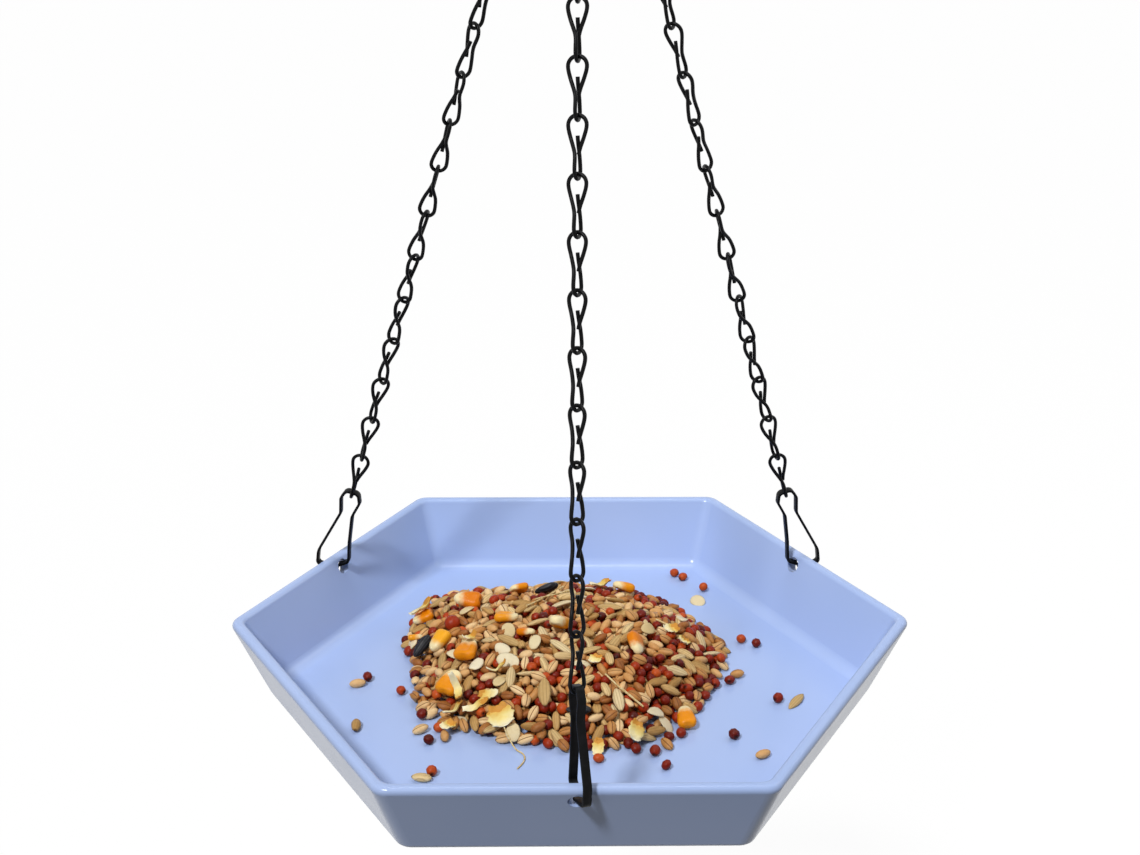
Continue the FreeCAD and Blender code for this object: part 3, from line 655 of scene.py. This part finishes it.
# Dry seed coats: waxy, low gloss. Tints run from grain to grain, and marks follow the grain's own shape; the
# dark line in the wheat's crease is painted shade.
seedLooks = {
    # the wheat's mark colour is painted shade in its crease; the other kinds' mark colour is their ribs' own
    # colour
    "wheat": {"tints": ["#935729", "#BC8347", "#D8A86E", "#EBCB99"], "tip": "#5E381A", "ribColourAndCreaseShade": "#6E421D",
              "roughness": 0.42},
    "barley": {"tints": ["#AC8249", "#CDA568", "#E3C791"], "tip": "#5E4020", "ribColourAndCreaseShade": "#8E6938",
               "roughness": 0.5, "ribs": 4},
    "sorghum": {"tints": ["#4A0D04", "#781B07", "#9C300E", "#C4551F"], "tip": "#220802", "roughness": 0.36},
    "oat": {"tints": ["#B49058", "#CDAE77", "#E0CB9E"], "tip": "#6E5029", "ribColourAndCreaseShade": "#856539",
            "roughness": 0.55, "ribs": 4},
    "flake": {"tints": ["#D2B883", "#E0CFA6", "#EADFC2"], "tip": "#CDB27C", "roughness": 0.6},
    "maize": {"tints": ["#DB7706", "#EA9410", "#F3AC26"], "tip": "#F2DFAC", "roughness": 0.3},
    "sunflower": {"tints": ["#121214", "#1C1C20"], "tip": "#303033", "ribColourAndCreaseShade": "#4A4A50",
                  "roughness": 0.42, "ribs": 5},
}
# Ranges are where a mark starts to show and where it is full, across or along a grain from 0 to 1
coatLook = {
    "ior": 1.4, "specular": 0.25, "skinSize": 0.7 * mm, "skinDepth": 0.12 * mm,
    "blotchSize": 1.4 * mm, "blotchShare": 0.3,
    "tipRange": (0.09, 0.015), "capRange": (0.6, 0.36), "capBlotch": 0.25,
    # the crease range and bellyFrom place the painted shade line in the wheat's crease
    "ribRange": (0.55, 0.95), "ribShare": 0.5, "creaseShadeRange": (0.07, 0.02), "bellyFrom": 0.6,
}


def makeSeedCoat(kind):
    look = seedLooks[kind]
    material, tree, shader = newMaterial(kind + "SeedCoat", {
        "Roughness": look["roughness"], "IOR": coatLook["ior"], "Specular IOR Level": coatLook["specular"]})
    place = addNode(tree, "ShaderNodeTexCoord").outputs["Object"]
    tint = addNode(tree, "ShaderNodeAttribute", attribute_name="grainTint")
    spot = addNode(tree, "ShaderNodeAttribute", attribute_name="grainSpot")
    axes = addNode(tree, "ShaderNodeSeparateColor", links={"Color": spot.outputs["Color"]})
    blotch = addNode(tree, "ShaderNodeTexNoise", {"Scale": 1 / coatLook["blotchSize"], "Detail": 3.0},
                     {"Vector": place})
    mixed = addNode(tree, "ShaderNodeMath", {1: coatLook["blotchShare"]}, {0: blotch.outputs["Fac"]},
                    operation="MULTIPLY")
    shade = addNode(tree, "ShaderNodeMath", links={0: tint.outputs["Fac"], 1: mixed.outputs[0]},
                    operation="ADD")
    shade = addNode(tree, "ShaderNodeMath", {1: coatLook["blotchShare"] / 2}, {0: shade.outputs[0]},
                    operation="SUBTRACT")
    steps = [i / (len(look["tints"]) - 1) for i in range(len(look["tints"]))]
    coat = addNode(tree, "ShaderNodeValToRGB", links={"Fac": shade.outputs[0]},
                   stops=list(zip(steps, look["tints"])))
    along, (start, full) = axes.outputs["Red"], coatLook["tipRange"]
    if kind == "maize":
        # the hard yellow crown gives way to a floury cream cap and tip
        uneven = addNode(tree, "ShaderNodeMath", {1: coatLook["capBlotch"]}, {0: blotch.outputs["Fac"]},
                         operation="MULTIPLY")
        along = addNode(tree, "ShaderNodeMath", links={0: uneven.outputs[0], 1: along},
                        operation="ADD").outputs[0]
        start, full = coatLook["capRange"]
    cap = addNode(tree, "ShaderNodeMapRange", {"From Min": start, "From Max": full}, {"Value": along})
    colour = addNode(tree, "ShaderNodeMix", {"B": hexColour(look["tip"])}, data_type="RGBA")
    tree.links.new(cap.outputs["Result"], colour.inputs["Factor"])
    tree.links.new(coat.outputs["Color"], colour.inputs["A"])
    if "ribs" in look:
        # ribs that run along a husk
        wave = addNode(tree, "ShaderNodeMath", {1: look["ribs"] * math.pi * 2}, {0: axes.outputs["Green"]},
                       operation="MULTIPLY")
        line = addNode(tree, "ShaderNodeMath", links={0: wave.outputs[0]}, operation="SINE")
        start, full = coatLook["ribRange"]
        mask = addNode(tree, "ShaderNodeMapRange", {
            "From Min": start, "From Max": full, "To Max": coatLook["ribShare"]}, {"Value": line.outputs[0]})
    elif "ribColourAndCreaseShade" in look:
        # painted shade: a dark line along the belly's crease
        off = addNode(tree, "ShaderNodeMath", {1: 0.5}, {0: axes.outputs["Green"]}, operation="SUBTRACT")
        off = addNode(tree, "ShaderNodeMath", links={0: off.outputs[0]}, operation="ABSOLUTE")
        start, full = coatLook["creaseShadeRange"]
        near = addNode(tree, "ShaderNodeMapRange", {"From Min": start, "From Max": full},
                       {"Value": off.outputs[0]})
        belly = addNode(tree, "ShaderNodeMath", {1: coatLook["bellyFrom"]}, {0: axes.outputs["Blue"]},
                        operation="GREATER_THAN")
        mask = addNode(tree, "ShaderNodeMath", links={0: near.outputs[0], 1: belly.outputs[0]},
                       operation="MULTIPLY")
    # ribs get their own colour, and the wheat's crease gets a painted shade line
    if "ribColourAndCreaseShade" in look:
        tipped = colour
        colour = addNode(tree, "ShaderNodeMix", {"B": hexColour(look["ribColourAndCreaseShade"])}, data_type="RGBA")
        tree.links.new(mask.outputs[0], colour.inputs["Factor"])
        tree.links.new(tipped.outputs["Result"], colour.inputs["A"])
    tree.links.new(colour.outputs["Result"], shader.inputs["Base Color"])
    rough = addNode(tree, "ShaderNodeTexNoise", {"Scale": 1 / coatLook["skinSize"], "Detail": 2.0},
                    {"Vector": place})
    skin = addNode(tree, "ShaderNodeBump", {"Distance": coatLook["skinDepth"]},
                   {"Height": rough.outputs["Fac"]})
    tree.links.new(skin.outputs["Normal"], shader.inputs["Normal"])
    return material


for kind in grainKinds:
    piece = makeGrains(kind)
    piece.data.materials.append(makeSeedCoat(kind))
    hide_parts("seed_mix")


# Dried petals: thin curled blades on the heap, each by place, length, width, turn, curl and tilt
petalShape = {
    "thickness": 0.22, "lift": 0.35, "grid": (16, 6),
    "ragged": 0.1, "cup": 0.18, "crumple": 0.3, "ripple": 0.22,
    "blades": [
        (-23, -33, 9.5, 7.0, 1.9, 0.5, 0.1), (-37, -22, 12.0, 2.2, 5.0, 1.3, 0.2),
        (-31, -27, 9.5, 2.4, 0.1, 0.7, 0.3), (-38, -27, 8.0, 2.8, 0.3, 0.9, 0.1),
        (-27, -24, 7.0, 3.0, 2.9, 0.8, 0.2), (-24, -14, 7.5, 1.9, 0.2, 1.0, 0.5),
        (-40, -33, 5.5, 3.6, 0.8, 0.6, 0.0), (20, -40, 7.5, 4.2, 1.3, 0.5, 0.1),
        (35, 14, 5.5, 4.0, 0.4, 0.7, 0.3), (39, 10, 5.0, 3.4, 1.2, 0.6, 0.2),
        (12, 50, 8.0, 4.4, 0.3, 0.8, 0.4), (-52, 36, 10.0, 5.5, 0.4, 0.7, 0.2),
        (8, -12, 4.5, 3.6, 1.0, 0.5, 0.3), (8, -44, 6.5, 3.0, 1.4, 0.6, 0.1),
        (-34, 2, 5.5, 2.4, 0.6, 1.1, 0.5),
    ],
    "ior": 1.4, "roughness": 0.6, "streakSize": 2.5 * mm, "streakShare": 0.5,
    "stops": [(0.3, "#F3EAC6"), (0.75, "#E9D384"), (0.999, "#DDB352"), (1.0, "#CC8E34")],
    "veinSize": 0.9 * mm, "veinDepth": 0.15 * mm,
}


def bendPetal(verts, x, y, length, width, yaw, curl, tilt):
    cosYaw, sinYaw = math.cos(yaw), math.sin(yaw)
    rise = slopeAlong(x, y, cosYaw, sinYaw, length / 2)
    aside = slopeAlong(x, y, -sinYaw, cosYaw, width / 2)
    under = [(along * length / 10, across * width / 6) for along in range(-4, 5) for across in range(-2, 3)]
    level = max(groundAt(x + along * cosYaw - across * sinYaw, y + along * sinYaw + across * cosYaw)
                - rise * along - aside * across for along, across in under)
    forward = Vector((cosYaw, sinYaw, rise + tilt * 0.5)).normalized()
    beside = Vector((-sinYaw, cosYaw, aside)).normalized()
    up = forward.cross(beside).normalized()
    for vert in verts:
        along, across = vert.co.x + 0.5, vert.co.y * 2
        vert[petalSpot] = (along, 0.5 + 0.5 * across, 0.5, 1.0)
        # a leaf's outline with ragged edges
        tatter = math.sin(23 * along + 9 * y) + 0.6 * math.sin(41 * along + x)
        edge = 1 + petalShape["ragged"] * tatter * across ** 2
        half = width / 2 * (0.25 + 0.95 * math.sin(math.pi * min(1.0, 0.12 + 0.8 * along)) ** 0.7) * edge
        # curled along its length, cupped across it, and crumpled
        bend = curl * (along - 0.5)
        reach, lift = (along - 0.5) * length * math.cos(bend), length * 0.5 * (1 - math.cos(2 * bend))
        lift += petalShape["cup"] * width * across ** 2
        lift += petalShape["crumple"] * math.sin(11 * along + x)
        lift += petalShape["ripple"] * math.sin(9 * across + 7 * along)
        middle = Vector((x, y, level + petalShape["lift"]))
        vert.co = (middle + forward * reach + beside * half * across + up * lift) * mm
        vert.co.z += floorLevel


def makePetalSkin():
    look = petalShape
    material, tree, shader = newMaterial("driedPetal", {"Roughness": look["roughness"], "IOR": look["ior"]})
    place = addNode(tree, "ShaderNodeTexCoord").outputs["Object"]
    spot = addNode(tree, "ShaderNodeAttribute", attribute_name="grainSpot")
    axes = addNode(tree, "ShaderNodeSeparateColor", links={"Color": spot.outputs["Color"]})
    streak = addNode(tree, "ShaderNodeTexNoise", {"Scale": 1 / look["streakSize"], "Detail": 3.0},
                     {"Vector": place})
    blend = addNode(tree, "ShaderNodeMath", {1: look["streakShare"]}, {0: streak.outputs["Fac"]},
                    operation="MULTIPLY")
    blend = addNode(tree, "ShaderNodeMath", links={0: blend.outputs[0], 1: axes.outputs["Red"]},
                    operation="ADD")
    colour = addNode(tree, "ShaderNodeValToRGB", links={"Fac": blend.outputs[0]}, stops=look["stops"])
    tree.links.new(colour.outputs["Color"], shader.inputs["Base Color"])
    wave = addNode(tree, "ShaderNodeTexNoise", {"Scale": 1 / look["veinSize"], "Detail": 2.0},
                   {"Vector": place})
    veins = addNode(tree, "ShaderNodeBump", {"Distance": look["veinDepth"]}, {"Height": wave.outputs["Fac"]})
    tree.links.new(veins.outputs["Normal"], shader.inputs["Normal"])
    return material


bm = bmesh.new()
petalSpot = bm.verts.layers.float_color.new("grainSpot")
for blade in petalShape["blades"]:
    columns, rows = petalShape["grid"]
    made = bmesh.ops.create_grid(bm, x_segments=columns, y_segments=rows, size=0.5)["verts"]
    bendPetal(made, *blade)
petals = finishMesh(bm, "driedPetals")
thickness = petals.modifiers.new("thickness", "SOLIDIFY")
thickness.thickness = petalShape["thickness"] * mm
petals.data.materials.append(makePetalSkin())
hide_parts("seed_mix")

# Straw: bits of stalk lying over the heap, and one stem that trails onto the floor. Points and radius in mm.
strawShape = {
    "lift": 0.05,
    "stalks": [
        ([(-15, 21), (-9, 31), (-2, 44)], 0.34), ([(11, -18), (17.5, -23.5)], 0.32),
        ([(16, -25), (23, -29)], 0.36), ([(30, 20), (37, 17)], 0.35),
        ([(-12, 28), (-5, 35), (2, 41)], 0.3),
        ([(-22, -37), (-19, -42), (-15.5, -44.5), (-15, -49), (-17.5, -53)], 0.27),
    ],
    "ior": 1.45, "roughness": 0.5, "fibreSize": 0.8 * mm, "fibreDepth": 0.05 * mm,
    "stops": [(0.3, "#B79455"), (0.55, "#D9BF85"), (0.75, "#EADBAE")],
}


def makeStrawSkin():
    look = strawShape
    material, tree, shader = newMaterial("driedStraw", {"Roughness": look["roughness"], "IOR": look["ior"]})
    place = addNode(tree, "ShaderNodeTexCoord").outputs["Object"]
    fibre = addNode(tree, "ShaderNodeTexNoise", {"Scale": 1 / look["fibreSize"], "Detail": 3.0},
                    {"Vector": place})
    colour = addNode(tree, "ShaderNodeValToRGB", links={"Fac": fibre.outputs["Fac"]}, stops=look["stops"])
    tree.links.new(colour.outputs["Color"], shader.inputs["Base Color"])
    ridge = addNode(tree, "ShaderNodeBump", {"Distance": look["fibreDepth"]},
                    {"Height": fibre.outputs["Fac"]})
    tree.links.new(ridge.outputs["Normal"], shader.inputs["Normal"])
    return material


bm = bmesh.new()
for points, radius in strawShape["stalks"]:
    path = []
    for x, y in points:
        level = max(groundAt(x + dx, y + dy) for dx in (-1, 0, 1) for dy in (-1, 0, 1))
        path.append(Vector((x * mm, y * mm, floorLevel + (level + radius + strawShape["lift"]) * mm)))
    stalk = smoothLine(path, radius * mm, order=min(3, len(path)), sides=1)
    bm.from_mesh(stalk)
    bpy.data.meshes.remove(stalk)
straw = finishMesh(bm, "strawBits")
straw.data.materials.append(makeStrawSkin())
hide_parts("seed_mix")
print("seed heap made")


# Camera: fitted to the tray's rim, its floor and the chains in the photo. Its place is from the rim's middle,
# its turns are in degrees, and its focal length and width in the photo's pixels.
camera = {"focal": 1728, "width": 1140, "sensor": 36.0, "yaw": -1.12, "pitch": 22.5, "roll": 0.36,
          "place": (-10.7 * mm, -510.6 * mm, 281.1 * mm), "clip": 0.01}
cameraData = bpy.data.cameras.new("photoCamera")
cameraData.sensor_width = camera["sensor"]
cameraData.lens = camera["focal"] / camera["width"] * camera["sensor"]
cameraData.clip_start = camera["clip"]
cameraObject = bpy.data.objects.new("photoCamera", cameraData)
bpy.context.scene.collection.objects.link(cameraObject)
cameraObject.matrix_world = (
    Matrix.Translation(Vector(camera["place"]) + Vector((0, 0, rimLevel)))
    @ Matrix.Rotation(math.radians(camera["yaw"]), 4, "Z")
    @ Matrix.Rotation(math.pi / 2 - math.radians(camera["pitch"]), 4, "X")
    @ Matrix.Rotation(math.radians(camera["roll"]), 4, "Z"))
bpy.context.scene.camera = cameraObject
print("camera placed")

# Studio: white paper below, a soft key from the front left and three softboxes, each by place, size and
# power. Places are from the rim's middle.
studio = {
    "floorDrop": 260 * mm, "floorSize": 14.0,
    "floorColour": "#444444", "floorRoughness": 0.9, "floorGlow": 0.95,
    "worldStrength": 0.14, "skyGlow": 1.0,
    "keyPlace": (-0.38, -0.67, 0.96), "keyStrength": 2.25, "keySoftness": 7,
    "softboxes": {"top": ((0.0, 0.1, 0.95), (0.38, 0.24), 1.8),
                  "fill": ((0.6, 0.2, 0.7), (0.6, 0.6), 1.7),
                  "side": ((-0.7, -0.8, 0.25), (0.25, 0.25), 0.5)},
}


def aimLamp(name, kind, place):
    lamp = bpy.data.lights.new(name, kind)
    holder = bpy.data.objects.new(name, lamp)
    bpy.context.scene.collection.objects.link(holder)
    middle = Vector((0, 0, rimLevel))
    holder.location = middle + Vector(place)
    holder.rotation_euler = (middle - holder.location).to_track_quat("-Z", "Y").to_euler()
    return lamp


def backdropRays(tree):
    # 1 on the rays that see the backdrop itself, 0 on those that carry its light to the feeder
    light = addNode(tree, "ShaderNodeLightPath")
    seen = addNode(tree, "ShaderNodeMath", links={
        0: light.outputs["Is Camera Ray"], 1: light.outputs["Is Glossy Ray"]}, operation="ADD")
    seen = addNode(tree, "ShaderNodeMath", links={
        0: seen.outputs[0], 1: light.outputs["Is Transmission Ray"]}, operation="ADD", use_clamp=True)
    return seen.outputs[0]


def makePaper():
    # seen directly, the paper glows white and still keeps the feeder's shadow
    material, tree, shader = newMaterial("matteWhitePaper", {
        "Base Color": hexColour(studio["floorColour"]), "Roughness": studio["floorRoughness"],
        "Specular IOR Level": 0.0})
    white = addNode(tree, "ShaderNodeEmission", {"Color": (1, 1, 1, 1), "Strength": studio["floorGlow"]})
    both = addNode(tree, "ShaderNodeAddShader", links={0: shader.outputs[0], 1: white.outputs[0]})
    blend = addNode(tree, "ShaderNodeMixShader", links={
        0: backdropRays(tree), 1: shader.outputs[0], 2: both.outputs[0]})
    output = next(node for node in tree.nodes if node.bl_idname == "ShaderNodeOutputMaterial")
    tree.links.new(blend.outputs[0], output.inputs["Surface"])
    return material


bm = bmesh.new()
bmesh.ops.create_grid(bm, x_segments=1, y_segments=1, size=studio["floorSize"] / 2)
bmesh.ops.translate(bm, verts=bm.verts, vec=(0, 0, trayLow.z - studio["floorDrop"]))
mesh = bpy.data.meshes.new("floor")
bm.to_mesh(mesh)
bm.free()
floor = bpy.data.objects.new("floor", mesh)
bpy.context.scene.collection.objects.link(floor)
floor.data.materials.append(makePaper())

world = bpy.data.worlds.new("studioAir")
world.use_nodes = True
bpy.context.scene.world = world
background = world.node_tree.nodes["Background"]
background.inputs["Color"].default_value = (1, 1, 1, 1)
strength = addNode(world.node_tree, "ShaderNodeMath", {
    1: studio["skyGlow"] - studio["worldStrength"], 2: studio["worldStrength"]},
    {0: backdropRays(world.node_tree)}, operation="MULTIPLY_ADD")
world.node_tree.links.new(strength.outputs[0], background.inputs["Strength"])
key = aimLamp("keySoftLight", "SUN", studio["keyPlace"])
key.energy = studio["keyStrength"]
key.angle = math.radians(studio["keySoftness"])
for name, (place, size, power) in studio["softboxes"].items():
    softbox = aimLamp(name + "Softbox", "AREA", place)
    softbox.shape = "RECTANGLE"
    softbox.size, softbox.size_y = size
    softbox.energy = power
bpy.context.scene.view_settings.view_transform = "Standard"
print("studio lit")
